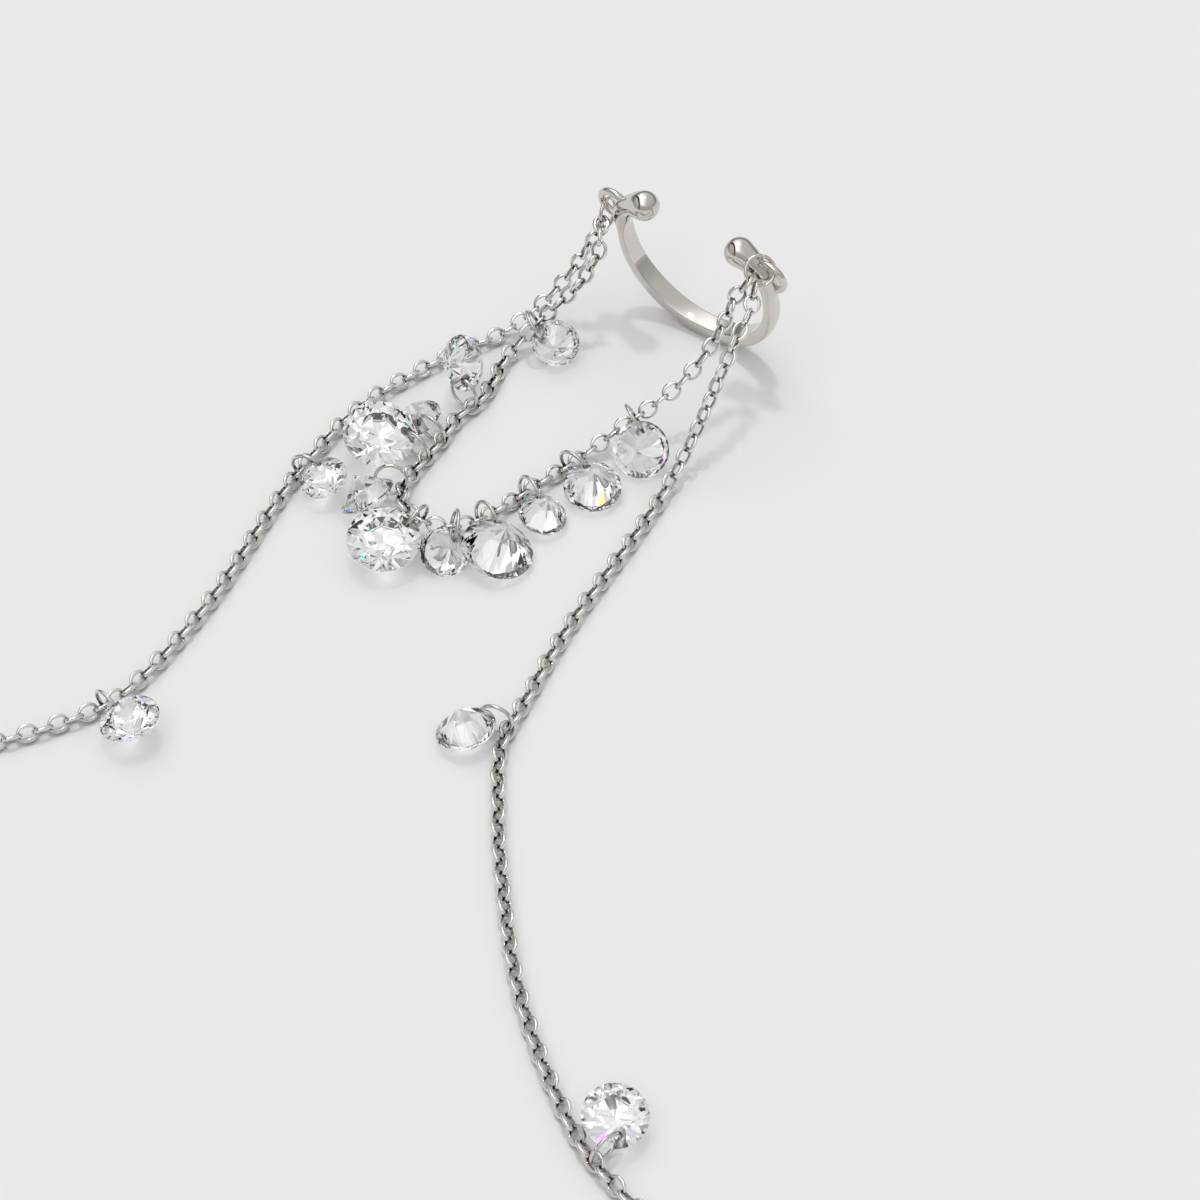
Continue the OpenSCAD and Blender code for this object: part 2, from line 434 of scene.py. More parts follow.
def finish_piece(
    mesh: bmesh.types.BMesh,
    name: str,
    node: str,
    finishes: list[Finish],
    smooth: bool = True,
    levels: int = 0,
) -> bpy.types.Object:
    """Makes a piece of a mesh in the part's millimetres, which stands for a CAD node.

    Args:
        mesh: mesh, which is freed.
        name: the piece's name.
        node: CAD node that it replaces.
        finishes: its materials in order.
        smooth: whether faces are shaded smooth.
        levels: subdivision.

    Returns:
        The piece.
    """
    to_metres = Matrix.Scale(MM, 4) @ Matrix.Translation(-MIDDLE)
    bmesh.ops.transform(mesh, matrix=to_metres, verts=mesh.verts)
    data = as_template(mesh, name)
    for finish in finishes:
        data.materials.append(finish.material())
    data.polygons.foreach_set("use_smooth", [smooth] * len(data.polygons))
    piece = bpy.data.objects.new(name, data)
    bpy.context.scene.collection.objects.link(piece)
    if levels:
        rounding = piece.modifiers.new("rounding", "SUBSURF")
        rounding.levels = rounding.render_levels = levels
    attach(piece, "root")
    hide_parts(node)
    log.info("%s: %d faces for %s", name, len(data.polygons), node)
    return piece


# The cuff


@dataclass(frozen=True)
class EarCuff:
    """Open ring with round necks, ball ends and two soldered loops."""

    radius: float = 6.8
    width: float = 1.4
    # The inside is a circle too, moved up by this much, so the band is thickest at its foot
    inside_r: float = 6.1
    inside_shift: float = 0.6
    dome: float = 0.2
    lean: float = 12.0
    band_end: float = 4.0
    middle_r: float = 6.45
    corner: float = 0.1
    inner_corner: float = 0.08
    # Rise of the inside face's middle over its edges
    crown: float = 0.05
    loop_r: float = 1.15
    loop_wire: float = 0.56
    loop_steps: int = 48
    loop_sides: int = 18
    # Angle on the ring and distance of each loop's middle, and its side
    loops: tuple = ((22.9, 7.6, -1), (26.4, 7.37, 1))
    # Rows of the arm: angle on the ring, distance of its middle, diameter
    arm: tuple = ((21.0, 6.8, 1.5), (34.0, 6.58, 1.6), (46.7, 6.05, 2.2))
    # Two rows before them guide its path: angle from the band's end, diameter
    lead: tuple = ((-14.0, 1.2), (0.0, 1.3))
    # So does a point past the last row, by this angle and this much farther in
    past_angle: float = 9.0
    past_in: float = 0.55
    band_stations: int = 48
    neck_stations: int = 14
    arm_stations: int = 9
    ball_stations: int = 9
    # Steps of the outline's straight faces, its dome and its two kinds of corner
    face_steps: int = 4
    dome_steps: int = 6
    inner_steps: int = 3
    corner_steps: int = 4

    def dome_radius(self) -> float:
        """Radius of the domed outside, across the band."""
        half = self.width / 2
        return (half**2 + self.dome**2) / (2 * self.dome)

    def inside(self, angle: float) -> float:
        """Finds how far the inside face is from the ring's middle.

        Args:
            angle: place on the ring, in degrees.

        Returns:
            The distance.
        """
        a = math.radians(angle)
        across = self.inside_shift * math.cos(a)
        return self.inside_shift * math.sin(a) + math.sqrt(self.inside_r**2 - across**2)

    def on_ring(self, angle: float, distance: float) -> Vector:
        """Gives a place in the ring's plane."""
        a = math.radians(angle)
        return Vector((distance * math.cos(a), distance * math.sin(a), 0.0))

    def band_outline(self, angle: float) -> list[Vector]:
        """Outline of the band: nearly flat inside, straight sides, domed outside, soft edges.

        Args:
            angle: place on the ring, in degrees.

        Returns:
            Points of distance out from middle_r and place across, from the inside's middle round.
        """
        half = self.width / 2
        low = self.inside(angle)
        dome_r = self.dome_radius()
        edge = self.corner
        top = self.radius - dome_r + math.sqrt(dome_r**2 - (half - edge) ** 2)
        corner_at = Vector((self.radius - self.dome, half))
        small = self.inner_corner
        steps = self.face_steps
        across = [(half - small) * i / steps for i in range(steps + 1)]
        points = [Vector((low + self.crown * (w / half) ** 2, w)) for w in across]
        low += self.crown
        side_at = low + small
        points += bend(points[-1], Vector((low, half)), Vector((side_at, half)), self.inner_steps)
        climb = corner_at.x - edge - side_at
        points += [Vector((side_at + climb * i / steps, half)) for i in range(1, steps + 1)]
        points += bend(points[-1], corner_at, Vector((top, half - edge)), self.corner_steps)
        for i in range(1, self.dome_steps + 1):
            w = (half - edge) * (1 - i / self.dome_steps)
            points.append(Vector((self.radius - dome_r + math.sqrt(dome_r**2 - w**2), w)))
        other = [Vector((p.x, -p.y)) for p in reversed(points[1:-1])]
        return [Vector((p.x - self.middle_r, p.y)) for p in points + other]

    def round_outline(self, diameter: float, count: int) -> list[Vector]:
        """Round outline whose points lie evenly.

        Args:
            diameter: its diameter.
            count: number of points.

        Returns:
            Its points, which start on the inside.
        """
        turns = (2 * math.pi * i / count for i in range(count))
        return [Vector((-math.cos(a), math.sin(a))) * (diameter / 2) for a in turns]

    def lay(self, at: Vector, way: Vector, outline: list[Vector]) -> list[Vector]:
        """Stands an outline across a way.

        Args:
            at: the outline's middle in the ring's plane.
            way: direction along the piece there.
            outline: points of distance out and place across.

        Returns:
            The outline's points.
        """
        out = Vector((way.y, -way.x, 0.0)).normalized()
        return [at + out * p.x + Vector((0, 0, p.y)) for p in outline]

    def sections(self) -> list[list[Vector]]:
        """Lays the sections of half the cuff.

        Returns:
            Sections from the bottom of the ring to one ball's tip, in the ring's own plane.
        """
        rings = []
        for i in range(self.band_stations + 1):
            angle = -90 + (90 + self.band_end) * i / self.band_stations
            at = self.on_ring(angle, self.middle_r)
            way = self.on_ring(angle + 90, 1.0)
            rings.append(self.lay(at, way, self.band_outline(angle)))
        band = self.band_outline(self.band_end)
        # The arm's path: its place in the plane, and its diameter as third value
        end_angle, end_r, ball_d = self.arm[-1]
        rows = [(self.band_end + back, self.middle_r, d) for back, d in self.lead]
        rows += [*self.arm, (end_angle + self.past_angle, end_r - self.past_in, ball_d)]
        path = [self.on_ring(a, r) + Vector((0, 0, d)) for a, r, d in rows]
        for span in range(1, len(path) - 2):
            steps = self.neck_stations if span == 1 else self.arm_stations
            for i in range(1, steps + 1):
                u = i / steps
                here = on_span(path, span, u)
                ahead = (on_span(path, span, u + NUDGE) - on_span(path, span, u - NUDGE)) * IN_PLANE
                ring = self.round_outline(here.z, len(band))
                if span == 1:
                    ease = u * u * (3 - 2 * u)
                    ring = [a.lerp(b, ease) for a, b in zip(band, ring)]
                at = here * IN_PLANE
                rings.append(self.lay(at, ahead, ring))
        neck = rings[-1]
        for i in range(1, self.ball_stations):
            a = math.radians(90 * i / self.ball_stations)
            cap = ahead.normalized() * (ball_d / 2 * math.sin(a))
            rings.append([at + (p - at) * math.cos(a) + cap for p in neck])
        return rings

    def body(self) -> bmesh.types.BMesh:
        """Draws the first section out along the ring and mirrors the result.

        Returns:
            The cuff without its loops, in its own plane.
        """
        mesh = bmesh.new()
        rings = self.sections()
        bmesh.ops.create_circle(mesh, segments=len(rings[0]), radius=1.0)
        edges = mesh.edges[:]
        mesh.verts.ensure_lookup_table()
        row = mesh.verts[:]
        for vert, place in zip(row, rings[0]):
            vert.co = place
        for ring in rings[1:]:
            grown = bmesh.ops.extrude_edge_only(mesh, edges=edges)["geom"]
            new = {v for v in grown if isinstance(v, bmesh.types.BMVert)}
            row = [
                next(e.other_vert(v) for e in v.link_edges if e.other_vert(v) in new) for v in row
            ]
            edges = [e for e in grown if isinstance(e, bmesh.types.BMEdge) and set(e.verts) <= new]
            for vert, place in zip(row, ring):
                vert.co = place
        bmesh.ops.contextual_create(mesh, geom=edges)
        whole = mesh.verts[:] + mesh.edges[:] + mesh.faces[:]
        bmesh.ops.mirror(mesh, geom=whole, axis="X", merge_dist=MERGE)
        bmesh.ops.remove_doubles(mesh, verts=mesh.verts, dist=MERGE)
        bmesh.ops.recalc_face_normals(mesh, faces=mesh.faces)
        return mesh

    def build(self) -> None:
        """Builds the cuff with its soldered loops as one piece."""
        lift = self.dome_radius() * (1 - math.cos(math.radians(self.lean)))
        stand = shift(0, 0, lift) @ turn(90 + self.lean, 0, 0) @ shift(0, self.radius, 0)
        mesh = bmesh.new()
        add_copy(mesh, as_template(self.body(), "open_ring"), stand)
        ring = wire_ring(self.loop_r, self.loop_wire, self.loop_steps, self.loop_sides)
        loop = as_template(ring, "loop")
        for angle, distance, side in self.loops:
            at = self.on_ring(angle, distance)
            add_copy(mesh, loop, stand @ shift(side * at.x, at.y, 0))
        piece = finish_piece(mesh, "cuff", "ear_cuff", [Finish.METAL], levels=1)
        flats = piece.modifiers.new("flats", "WEIGHTED_NORMAL")
        flats.keep_sharp = True


# Chains


def on_span(p: list[Vector], i: int, u: float) -> Vector:
    """Place on a smooth curve through points.

    Args:
        p: the points.
        i: number of the span's first point.
        u: share of the span.

    Returns:
        The place.
    """
    b, c = p[i], p[i + 1]
    a = p[i - 1] if i > 0 else 2 * b - c
    d = p[i + 2] if i + 2 < len(p) else 2 * c - b
    square = 2 * a - 5 * b + 4 * c - d
    cube = 3 * b - a - 3 * c + d
    return (2 * b + (c - a) * u + square * u**2 + cube * u**3) / 2


@dataclass
class CableChain:
    """Interlocked links along a smooth route."""

    node: str
    route: list[Place]
    links: int
    first_turn: float
    # Rows of distance and extra turn of the links about the chain, in degrees
    extra_turn: list[tuple[float, float]]
    span_steps: int = 24
    # Half of the stretch of route that gives a link its way
    reach: float = 0.5
    samples: list[Vector] = field(init=False)
    run: list[float] = field(init=False)

    def __post_init__(self) -> None:
        """Samples the route and measures the distance to each sample."""
        points = [Vector(p) for p in self.route]
        shares = [k / self.span_steps for k in range(self.span_steps)]
        self.samples = [on_span(points, i, u) for i in range(len(points) - 1) for u in shares]
        self.samples.append(points[-1])
        self.run = [0.0]
        for a, b in zip(self.samples, self.samples[1:]):
            self.run.append(self.run[-1] + (b - a).length)

    def place(self, distance: float) -> Vector:
        """Finds a place on the route.

        Args:
            distance: distance from its start.

        Returns:
            The place.
        """
        d = min(max(distance, 0.0), self.run[-1])
        low = min(bisect_right(self.run, d), len(self.run) - 1) - 1
        share = (d - self.run[low]) / (self.run[low + 1] - self.run[low])
        return self.samples[low].lerp(self.samples[low + 1], share)

    def turn_at(self, distance: float) -> float:
        """Reads the table of extra turns.

        Args:
            distance: distance from the route's start.

        Returns:
            The extra turn there.
        """
        table = self.extra_turn
        if distance <= table[0][0]:
            return table[0][1]
        for (d0, t0), (d1, t1) in zip(table, table[1:]):
            if distance <= d1:
                return t0 + (t1 - t0) * (distance - d0) / (d1 - d0)
        return table[-1][1]

    def link_place(self, number: int) -> Matrix:
        """Place of a link: X along the chain, Z through its hole.

        Args:
            number: the link's number.

        Returns:
            Its place.
        """
        distance = number * self.run[-1] / (self.links - 1)
        way = self.place(distance + self.reach) - self.place(distance - self.reach)
        lift = math.degrees(math.asin(way.z / way.length))
        heading = math.degrees(math.atan2(way.y, way.x))
        roll = (self.first_turn if number % 2 == 0 else -self.first_turn) + self.turn_at(distance)
        return Matrix.Translation(self.place(distance)) @ turn(roll, -lift, heading)

    def build(self, link: bpy.types.Mesh) -> None:
        """Strings copies of a link along the route.

        Args:
            link: the link, X along it.
        """
        mesh = bmesh.new()
        for number in range(self.links):
            add_copy(mesh, link, self.link_place(number))
        finish_piece(mesh, self.node + "_links", self.node, [Finish.CHAIN], levels=1)


@dataclass(frozen=True)
class Link:
    """A rounded link, nearly as wide as long."""

    length: float = 1.6
    width: float = 1.44
    hole_l: float = 1.18
    hole_w: float = 0.7
    thick: float = 0.26
    steps: int = 12
    sides: int = 6
    # Share of the wire's width that its flats take, before the subdivision rounds them
    flat: float = 0.74
    # The subdivision draws the wire's sides and flats in by these
    drawn_side: float = 1.14
    drawn_flat: float = 1.04
    # Wire that is spun before it is spread
    spun: float = 0.2

    def template(self) -> bpy.types.Mesh:
        """Spins a wire and spreads it to the link's form.

        Returns:
            The link's mesh.
        """
        mean = (self.width + self.hole_w) / 4
        mesh = wire_ring(mean, self.spun, self.steps, self.sides)
        straight = (self.length - self.width) / 2
        end = (self.length - self.hole_l) / 2
        side = (self.width - self.hole_w) / 2
        for vert in mesh.verts:
            angle = math.atan2(vert.co.y, vert.co.x)
            out = vert.co.xy.length - mean
            on_side = abs(vert.co.z) < abs(out) / 2
            wire = end + (side - end) * math.sin(angle) ** 2
            middle = mean + (side - wire) / 2
            share = math.copysign(1.0 if on_side else self.flat, out)
            reach = middle + share * wire / 2 * self.drawn_side
            up = 0.0 if on_side else math.copysign(self.thick / 2 * self.drawn_flat, vert.co.z)
            vert.co = Vector(((reach + straight) * math.cos(angle), reach * math.sin(angle), up))
        return as_template(mesh, "link")


# Jump rings and stones


@dataclass(frozen=True)
class JumpRing:
    """A ring of round wire whose two ends meet in a fine seam."""

    radius: float
    wire: float
    seam_deg: float = 1.4
    steps: int = 56
    sides: int = 14

    def build(self, name: str, node: str, place: Matrix, seam_at: float) -> None:
        """Builds the ring.

        Args:
            name: the piece's name.
            node: CAD node that it replaces.
            place: its place, round Z.
            seam_at: place of the seam, in degrees.
        """
        mesh = wire_ring(self.radius, self.wire, self.steps, self.sides, self.seam_deg)
        bmesh.ops.transform(mesh, matrix=place @ turn(0, 0, seam_at), verts=mesh.verts)
        finish_piece(mesh, name, node, [Finish.METAL])


@dataclass(frozen=True)
class Brilliant:
    """Round brilliant, cut with flat planes and drilled near its rim."""

    diameter: float
    # Shares of the diameter
    table: float = 0.55
    crown: float = 0.16
    pavilion: float = 0.43
    # The girdle's height, the hole's width and its distance from the rim, in millimetres
    girdle: float = 0.1
    drill: float = 0.7
    rim: float = 0.72
    mains: int = 8
    # Tilt of the star facets, as a share of the crown's
    star_tilt: float = 0.6
    # Half facets at the girdle: extra tilt, and share of the radius where they meet it
    upper_half: tuple[float, float] = (6.0, 0.99)
    lower_half: tuple[float, float] = (1.6, 0.995)
    round_sides: int = 64
    drill_sides: int = 24
    drill_length: float = 6.0
    # The rim's circle stays inside the part's
    shrink: float = 0.996
    # Blank left below the point before it is cut
    spare: float = 0.1
    # Points nearer to a cutting plane than this lie on it
    on_plane: float = 1e-6

    def facets(self) -> list[tuple[float, float, float, float]]:
        """Lists the facets but for the table.

        Returns:
            Rows of heading, tilt from level, distance out and height of a point on each.
        """
        r = self.diameter / 2
        edge = self.girdle / 2
        crown_tilt = math.degrees(math.atan(self.crown * self.diameter / (r - self.table * r)))
        pavilion_tilt = math.degrees(math.atan(self.pavilion * self.diameter / r))
        top = edge + self.crown * self.diameter
        star_at = self.table * r * math.cos(math.pi / self.mains)
        apart = 360.0 / self.mains
        rows = []
        for i in range(self.mains):
            rows.append((apart * i, crown_tilt, r, edge))
            rows.append((apart * (i + 0.5), crown_tilt * self.star_tilt, star_at, top))
            rows.append((apart * i, -pavilion_tilt, r, -edge))
        for i in range(2 * self.mains):
            heading = apart / 2 * (i + 0.5)
            more, share = self.upper_half
            rows.append((heading, crown_tilt + more, r * share, edge))
            more, share = self.lower_half
            rows.append((heading, -pavilion_tilt - more, r * share, -edge))
        return rows

    def cut(self) -> bmesh.types.BMesh:
        """Cuts the stone from a round blank, plane by plane.

        Returns:
            The stone: Z to the table, headings from X.
        """
        r = self.diameter / 2
        top = self.girdle / 2 + self.crown * self.diameter
        mesh = bmesh.new()
        bmesh.ops.create_cone(
            mesh,
            cap_ends=True,
            segments=self.round_sides,
            radius1=r * self.shrink,
            radius2=r * self.shrink,
            depth=2 * top,
        )
        down = self.girdle / 2 + self.pavilion * self.diameter
        low = [v for v in mesh.verts if v.co.z < 0]
        bmesh.ops.translate(mesh, verts=low, vec=(0, 0, top - down - self.spare))
        for heading, tilt, out, height in self.facets():
            up = math.radians(90 - abs(tilt))
            level = math.cos(up)
            h = math.radians(heading)
            rise = math.copysign(math.sin(up), tilt)
            normal = Vector((level * math.cos(h), level * math.sin(h), rise))
            on = Vector((out * math.cos(h), out * math.sin(h), height))
            split = bmesh.ops.bisect_plane(
                mesh,
                geom=mesh.verts[:] + mesh.edges[:] + mesh.faces[:],
                dist=self.on_plane,
                plane_co=on,
                plane_no=normal,
                clear_outer=True,
            )
            rim = [e for e in split["geom_cut"] if isinstance(e, bmesh.types.BMEdge)]
            if len(rim) > 2:
                bmesh.ops.contextual_create(mesh, geom=rim)
        bmesh.ops.remove_doubles(mesh, verts=mesh.verts, dist=MERGE)
        bmesh.ops.recalc_face_normals(mesh, faces=mesh.faces)
        return mesh

    def template(self) -> bpy.types.Mesh:
        """Drills the cut stone.

        Returns:
            The stone's mesh, with the hole's wall in a second material.
        """
        bit = bmesh.new()
        bmesh.ops.create_cone(
            bit,
            cap_ends=True,
            segments=self.drill_sides,
            radius1=self.drill / 2,
            radius2=self.drill / 2,
            depth=self.drill_length,
            matrix=shift(self.rim - self.diameter / 2, 0, 0),
        )
        for face in bit.faces:
            face.material_index = 1
        blank = bpy.data.objects.new("blank", as_template(self.cut(), "brilliant"))
        drill = bpy.data.objects.new("drill", as_template(bit, "bit"))
        for thing in (blank, drill):
            for finish in (Finish.STONE, Finish.DRILLED):
                thing.data.materials.append(finish.material())
            bpy.context.scene.collection.objects.link(thing)
        hole = blank.modifiers.new("hole", "BOOLEAN")
        hole.object = drill
        hole.operation = "DIFFERENCE"
        hole.solver = "EXACT"
        bpy.context.view_layer.update()
        evaluated = blank.evaluated_get(bpy.context.evaluated_depsgraph_get())
        drilled = bpy.data.meshes.new_from_object(evaluated)
        for thing in (blank, drill):
            bpy.data.objects.remove(thing)
        return drilled


@dataclass(frozen=True)
class Charm:
    """A stone on its ring, a row of the part's table of stones."""

    number: int
    chain: CableChain
    link: int
    side: int
    yaw: float
    swing: float
    twist: float
    lean: float
    up: int
    diameter: float
    ring: JumpRing = JumpRing(1.11, 0.26)
    rim: float = Brilliant.rim
    # Half of the bow of the ring's wire inside the drilled hole
    bow: float = 0.08
    seams: tuple[float, ...] = (90.0, 130.0, 170.0, 210.0, 250.0)

    def ring_place(self) -> Matrix:
        """Place of the ring: X away from the link, Y along the wire in the link's hole."""
        turned = turn(0, self.yaw, 0) @ turn(90, 0, 90 * self.side)
        return self.chain.link_place(self.link) @ turned @ shift(self.ring.radius, 0, 0)

    def stone_place(self) -> Matrix:
        """Finds the stone's place from its hang on the ring.

        Returns:
            Its place: X from the drilled hole to its middle, Z to the table.
        """
        wire_at = shift(self.ring.radius - self.bow, 0, 0)
        hang = turn(0, 0, self.swing) @ wire_at @ turn(0, -self.twist, 0)
        face = turn(-90 * self.up, 0, 0) @ turn(0, -self.lean, 0)
        return self.ring_place() @ hang @ face @ shift(self.diameter / 2 - self.rim, 0, 0)

    def build(self, stones: dict[float, bpy.types.Mesh]) -> None:
        """Builds the ring and its stone.

        Args:
            stones: cut stones by their diameter.
        """
        tag = f"{self.number:02d}"
        seam_at = self.seams[self.number % len(self.seams)]
        self.ring.build("ring_" + tag, "stone_ring_" + tag, self.ring_place(), seam_at)
        mesh = bmesh.new()
        add_copy(mesh, stones[self.diameter], self.stone_place())
        finishes = [Finish.STONE, Finish.DRILLED]
        finish_piece(mesh, "brilliant_" + tag, "stone_" + tag, finishes, smooth=False)


# Height of a chain's middle where it lies on the floor
LOW = 0.65
LEFT = CableChain(
    "left_chain",
    [
        (-7.37, -3.04, 7.83), (-7.67, -3.59, 7.08), (-8.06, -4.15, 5.97), (-8.5, -4.75, 4.7),
        (-9, -5.5, 3.6), (-9.5, -6.4, 2.6), (-10.1, -7.5, 1.7), (-10.7, -8.9, 1),
        (-11.3, -10.6, LOW), (-12.1, -12.6, LOW), (-12.8, -14.9, LOW), (-13.3, -17.2, LOW),
        (-13.9, -20.5, LOW), (-13.9, -24, LOW), (-13.4, -27.5, LOW), (-12.7, -31, LOW),
        (-11.6, -35, LOW), (-10.4, -38.9, LOW), (-9.4, -42.5, LOW), (-8.6, -46.5, LOW),
        (-8.1, -50, LOW), (-8.1, -53.7, LOW), (-9.5, -57.3, LOW), (-11, -60, LOW),
        (-12.1, -61.6, LOW),
    ],
    links=63,
    first_turn=45.0,
    extra_turn=[(0, -48), (8, 0)],
)
SWAG = CableChain(
    "swag_chain",
    [
        (-7.1, -3.45, 8.58), (-6.46, -4.52, 8.06), (-6.26, -4.78, 7.52), (-6.53, -5.71, 6.05),
        (-6.92, -6.44, 4.94), (-7.6, -7.2, 3.9), (-8.3, -8.1, 2.8), (-8.9, -9.1, 1.8),
        (-9.2, -10.3, 1.05), (-9.2, -11.7, 0.7), (-8.8, -13.1, LOW), (-8.2, -14.7, LOW),
        (-7.8, -16.5, LOW), (-7.9, -18.7, LOW), (-7.3, -21.3, LOW), (-6.9, -24, LOW),
        (-6.24, -26.4, 0.89), (-4.82, -28.33, 1.38), (-2.82, -29.01, 1.6), (-1.04, -28.23, 1.25),
        (-0.04, -26.43, 1), (0.3, -24, LOW), (0.7, -21.2, LOW), (1.1, -19, LOW), (1.4, -17.2, LOW),
        (1.9, -15.4, 1.1), (2.6, -13.6, 1.9), (3.5, -12.1, 2.8), (4.5, -10.3, 4), (5, -8.9, 4.95),
        (5.3, -7.5, 5.95), (5.4, -6.3, 7), (5.4, -5.2, 8.06), (5.45, -4.76, 8.95),
        (5.9, -3.93, 10.07),
    ],
    links=63,
    first_turn=-45.0,
    extra_turn=[(0, 47), (8, 0), (55.5, 0), (63.5, 16)],
)
RIGHT = CableChain(
    "right_chain",
    [
        (6.52, -3.8, 9.77), (7.11, -5.02, 9.13), (7.33, -6.47, 8.39), (7.57, -7.9, 7.4),
        (7.65, -9.29, 6.05), (7.65, -10.5, 4.45), (7.7, -12, 2.9), (7.8, -13.7, 1.6),
        (8.1, -15.7, 0.85), (8.6, -18, LOW), (9.3, -21.4, LOW), (10, -25.2, LOW),
        (10.7, -28.9, LOW), (11.6, -32.6, LOW), (12.8, -36.7, LOW), (13.9, -40.5, LOW),
        (15.4, -42.9, LOW), (17.2, -45.1, LOW), (19.1, -47.4, LOW), (22.3, -50.8, LOW),
        (26, -54.5, LOW), (29.5, -57.4, LOW), (33.4, -60.1, LOW), (37.6, -62.5, LOW),
        (41.2, -63.7, LOW), (43, -64.1, LOW),
    ],
    links=76,
    first_turn=-45.0,
    extra_turn=[(0, -63), (8, -25), (13, -12), (17, 0)],
)

LARGE, MEDIUM, SMALL = 5.0, 4.0, 3.4
# Rows of a charm: chain, link, side, yaw, swing, twist, lean, up, diameter
STONES = [
    (SWAG, 9, 1, -12, 260, -30, 0, -1, SMALL),
    (SWAG, 18, -1, -6, 20, 50, -8, 1, MEDIUM),
    (SWAG, 22, -1, 12, 290, 40, -8, -1, SMALL),
    (SWAG, 24, -1, 12, 340, -40, -8, 1, LARGE),
    (SWAG, 28, -1, 0, 280, -60, -8, -1, MEDIUM),
    (SWAG, 32, -1, 12, 310, 20, -8, 1, LARGE),
    (SWAG, 34, -1, 12, 280, 30, 0, -1, SMALL),
    (SWAG, 36, -1, 0, 300, 30, 0, -1, LARGE),
    (SWAG, 40, -1, 12, 300, 10, 0, -1, SMALL),
    (SWAG, 44, -1, -12, 310, 30, 8, -1, MEDIUM),
    (SWAG, 50, -1, 0, 280, 40, 8, -1, MEDIUM),
    (LEFT, 30, 1, 12, 330, 60, -8, 1, SMALL),
    (LEFT, 54, 1, 12, 330, 0, -8, 1, MEDIUM),
    (RIGHT, 38, -1, 0, 300, -60, 0, -1, MEDIUM),
    (RIGHT, 71, 1, 12, 320, -60, 8, 1, MEDIUM),
]
JUMP_RING = JumpRing(1.05, 0.28)
JUMP_SEAM = 200.0
# Each jump ring's middle, tilt and heading
JUMPS = {
    "left_jump_ring": ((-7.43, -2.3, 8.73), 83.0, 10.0),
    "right_jump_ring": ((6.22, -2.77, 10.66), 131.0, 147.0),
}


# The studio


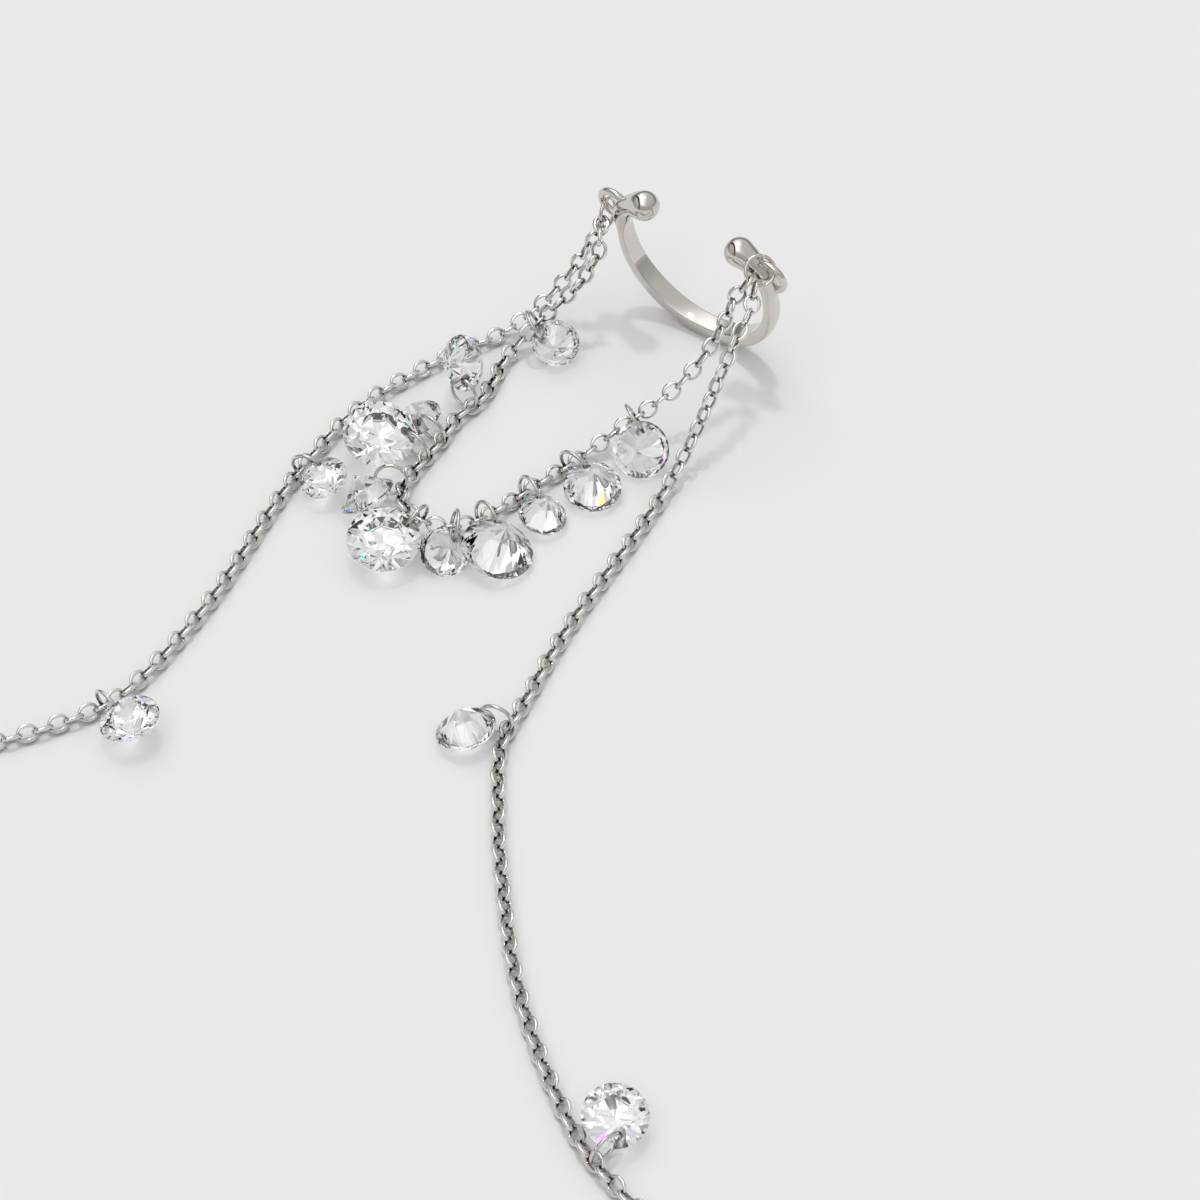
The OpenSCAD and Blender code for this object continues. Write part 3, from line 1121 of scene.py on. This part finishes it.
@dataclass(frozen=True)
class Studio:
    """Pale floor, soft light from just behind overhead, and the photograph's camera."""

    floor_colour: Colour = (0.855, 0.86, 0.868)
    floor_roughness: float = 0.9
    floor_half: float = 1.5
    key: float = 0.5
    key_angle: float = 5.0
    key_from: Place = (-0.111, 0.142, 1.0)
    strength: float = 0.95
    # Rows of the room's walls: height of a direction, brightness
    walls: tuple = ((0.0, 0.62), (0.1, 0.46), (0.35, 0.52), (0.6, 0.66), (1.0, 0.72))
    warmth: Colour = (1.0, 0.995, 0.985)
    # Sideways: the light bank's sharp edge, where it starts to fade and where it ends
    bank: tuple[float, float, float] = (-0.53, -0.38, 0.4)
    bank_height: tuple[float, float] = (0.45, 0.8)
    bank_glow: Colour = (1.75, 1.73, 1.7)
    # The dark strip beside it
    strip: tuple[float, float] = (-0.72, -0.56)
    strip_height: tuple[float, float] = (0.0, 0.15)
    strip_glow: Colour = (0.012, 0.012, 0.012)
    edge: float = 0.04
    # The dark band across from the camera: its lower and upper edge, and how far off it starts
    band_start: tuple[float, float] = (0.02, 0.1)
    band_end: tuple[float, float] = (0.26, 0.42)
    band_off: tuple[float, float] = (0.15, 0.5)
    band_glow: Colour = (0.26, 0.26, 0.26)
    # What is seen through a stone: how far the room is lightened, and to what
    stone_lift: float = 0.45
    lift_glow: Colour = (1.0, 1.0, 1.02)
    # Small coloured sparks there: rows of direction and glow, and the angles over which they fade
    sparks: tuple = (
        ((0.3, 0.5, 0.8), (0.25, 0.4, 5.0)),
        ((-0.55, -0.2, 0.8), (5.0, 1.7, 0.4)),
        ((0.1, -0.6, 0.8), (1.6, 0.6, 5.0)),
        ((0.75, -0.2, 0.6), (0.3, 3.4, 2.4)),
    )
    spark_inner: float = 2.0
    spark_outer: float = 3.0
    look_at_mm: Place = (10.68, -26.36, 0.0)
    distance_mm: float = 240.0
    azimuth: float = 38.0
    elevation: float = 45.0
    frame_mm: float = 80.0
    sensor: float = 36.0
    clip_start: float = 0.005

    def view(self) -> Vector:
        """Direction from the object to the camera."""
        a, e = math.radians(self.azimuth), math.radians(self.elevation)
        return Vector((math.cos(e) * math.sin(a), -math.cos(e) * math.cos(a), math.sin(e)))

    def floor(self) -> None:
        """Lays the floor."""
        mesh = bmesh.new()
        bmesh.ops.create_grid(mesh, x_segments=1, y_segments=1, size=self.floor_half)
        floor = bpy.data.objects.new("floor", as_template(mesh, "floor"))
        made = bpy.data.materials.new("floor")
        made.use_nodes = True
        graph = Graph(made.node_tree)
        sockets = {
            "Base Color": (*self.floor_colour, 1.0),
            "Roughness": self.floor_roughness,
            "Specular IOR Level": 0.0,
        }
        shader = graph.node("ShaderNodeBsdfPrincipled", {}, sockets)
        graph.node("ShaderNodeOutputMaterial", {}, {"Surface": shader})
        floor.data.materials.append(made)
        bpy.context.scene.collection.objects.link(floor)

    def camera(self) -> None:
        """Sets the camera at the photograph's angle."""
        v = self.view()
        right = Vector((0, 0, 1)).cross(v).normalized()
        up = v.cross(right)
        data = bpy.data.cameras.new("camera")
        data.sensor_width = self.sensor
        data.lens = self.sensor * self.distance_mm / self.frame_mm
        data.clip_start = self.clip_start
        camera = bpy.data.objects.new("camera", data)
        place = (Vector(self.look_at_mm) - MIDDLE + v * self.distance_mm) * MM
        turned = Matrix((right, up, v)).transposed().to_4x4()
        camera.matrix_world = Matrix.Translation(place) @ turned
        bpy.context.scene.collection.objects.link(camera)
        bpy.context.scene.camera = camera

    def key_light(self) -> None:
        """Hangs the key light."""
        data = bpy.data.lights.new("key", "SUN")
        data.energy = self.key
        data.angle = math.radians(self.key_angle)
        light = bpy.data.objects.new("key", data)
        light.rotation_euler = Vector(self.key_from).to_track_quat("Z", "Y").to_euler()
        bpy.context.scene.collection.objects.link(light)

    def spot(self, graph: Graph, way: Wire, towards: Place) -> Wire:
        """Mask of a small round patch of the room.

        Args:
            graph: the world's graph.
            way: direction that is looked in.
            towards: direction of the patch.

        Returns:
            1 in the patch, 0 outside.
        """
        near = graph.along(way, Vector(towards).normalized())
        outer, inner = (math.cos(math.radians(a)) for a in (self.spark_outer, self.spark_inner))
        return graph.step(near, outer, inner)

    def room(self, graph: Graph, way: Wire) -> Wire:
        """Colours the room: pale walls, a light bank overhead that fades to one side, dark bands.

        Args:
            graph: the world's graph.
            way: direction that is looked in.

        Returns:
            The room's colour.
        """
        height = graph.node("ShaderNodeSeparateXYZ", {}, {0: way}, "Z")
        side = graph.along(way, Vector((0, 0, 1)).cross(self.view()).normalized())
        off = graph.along(way, (-self.view() * IN_PLANE).normalized())
        stops = [(at, tuple(glow * part for part in self.warmth)) for at, glow in self.walls]
        tone = graph.node("ShaderNodeValToRGB", {"stops": stops}, {0: height})
        near, fade, far = self.bank
        bank = graph.step(side, near, near + self.edge) * (1 - graph.step(side, fade, far))
        tone = graph.mix(bank * graph.step(height, *self.bank_height), tone, self.bank_glow)
        low, high = self.strip
        below = 1 - graph.step(side, high - self.edge, high)
        strip = graph.step(side, low, low + self.edge) * below
        tone = graph.mix(strip * graph.step(height, *self.strip_height), tone, self.strip_glow)
        band = graph.step(height, *self.band_start) * (1 - graph.step(height, *self.band_end))
        return graph.mix(band * graph.step(off, *self.band_off), tone, self.band_glow)

    def surroundings(self) -> None:
        """Puts the room round the part, lighter and with coloured sparks inside the stones."""
        world = bpy.data.worlds.new("room")
        bpy.context.scene.world = world
        world.use_nodes = True
        graph = Graph(world.node_tree)
        way = graph.node("ShaderNodeTexCoord", out="Generated")
        tone = self.room(graph, way)
        lively = graph.mix(self.stone_lift, tone, self.lift_glow)
        for towards, colour in self.sparks:
            lively = graph.mix(self.spot(graph, way, towards), lively, colour)
        inside = graph.node("ShaderNodeLightPath", out="Is Transmission Ray")
        sockets = {"Color": graph.mix(inside, tone, lively), "Strength": self.strength}
        shader = graph.node("ShaderNodeBackground", {}, sockets)
        graph.node("ShaderNodeOutputWorld", {}, {"Surface": shader})

    def build(self) -> None:
        """Builds the studio."""
        self.floor()
        self.camera()
        self.key_light()
        self.surroundings()
        bpy.context.scene.view_settings.view_transform = "Standard"


def main() -> None:
    """Builds all pieces and the studio."""
    logging.basicConfig(level=logging.INFO, format="%(message)s")
    EarCuff().build()
    for node, (middle, tilt, heading) in JUMPS.items():
        place = shift(*middle) @ turn(0, tilt, heading)
        JUMP_RING.build(node + "_wire", node, place, JUMP_SEAM)
    link = Link().template()
    for chain in (LEFT, SWAG, RIGHT):
        chain.build(link)
    stones = {d: Brilliant(d).template() for d in (LARGE, MEDIUM, SMALL)}
    for number, row in enumerate(STONES, 1):
        Charm(number, *row).build(stones)
    Studio().build()


if __name__ == "__main__":
    main()
